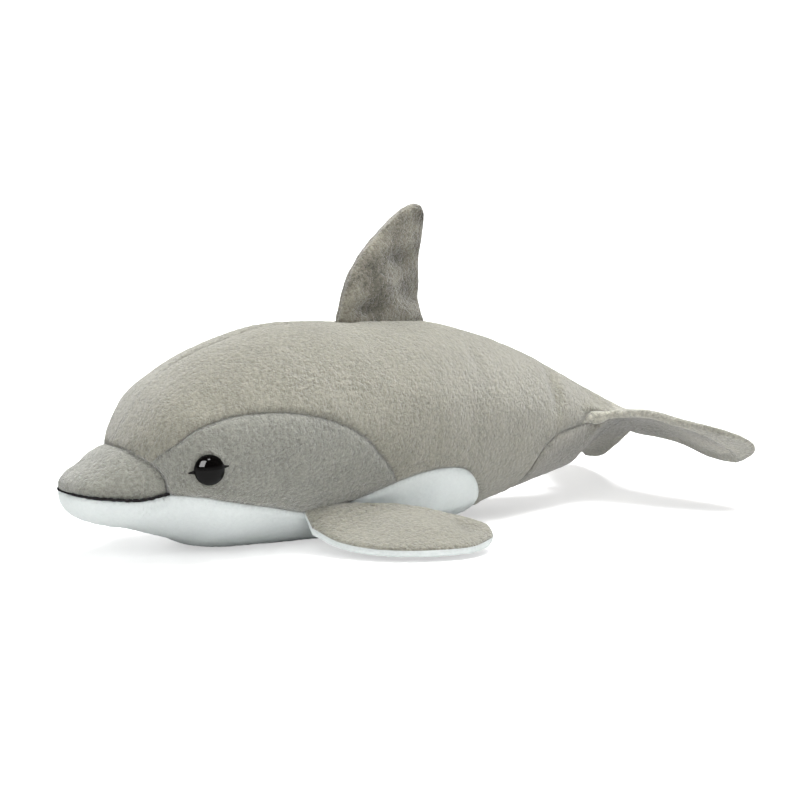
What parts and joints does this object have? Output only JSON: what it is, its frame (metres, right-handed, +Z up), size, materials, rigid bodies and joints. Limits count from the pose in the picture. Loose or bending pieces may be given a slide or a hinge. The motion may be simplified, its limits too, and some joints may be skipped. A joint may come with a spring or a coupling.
{
  "type": "plush dolphin",
  "caption": "Stuffed dolphin in grey and white short pile, lying on its belly with flippers spread and tail fluke drooping.",
  "frame": {"origin": "centre of the base of the bounding box, on the surface the belly lies on", "axes": "+Y from the beak to the tail, +X to the dolphin's own left, +Z up"},
  "size_m": [0.1608, 0.2951, 0.1313],
  "materials": {
    "grey_plush": "short warm grey pile",
    "cheek_plush": "short cooler grey pile",
    "white_plush": "short white pile",
    "polyester_fibre": "loose hollow fibre",
    "eye_plastic": "polished black dome",
    "black_thread": "twisted black embroidery thread",
    "washer_plastic": "plain moulded plastic",
    "label_ribbon": "woven ribbon"
  },
  "bodies": {
    "root": {"beak_top": "cheek_plush", "belly_panel": "white_plush", "cheek_panel_left": "cheek_plush", "cheek_panel_right": "cheek_plush", "back_panel_left": "grey_plush", "back_panel_right": "grey_plush", "fluke_top": "grey_plush", "fluke_underside": "grey_plush", "dorsal_fin_left": "grey_plush", "dorsal_fin_right": "grey_plush", "flipper_top_left": "grey_plush", "flipper_top_right": "grey_plush", "flipper_underside_left": "white_plush", "flipper_underside_right": "white_plush", "body_filling": "polyester_fibre", "dorsal_fin_filling": "polyester_fibre", "flipper_filling_left": "polyester_fibre", "flipper_filling_right": "polyester_fibre", "eye_left": "eye_plastic", "eye_right": "eye_plastic", "eye_washer_left": "washer_plastic", "eye_washer_right": "washer_plastic", "eye_line_left": "black_thread", "eye_line_right": "black_thread", "mouth_thread": "black_thread", "label": "label_ribbon"}
  },
  "joints": []
}
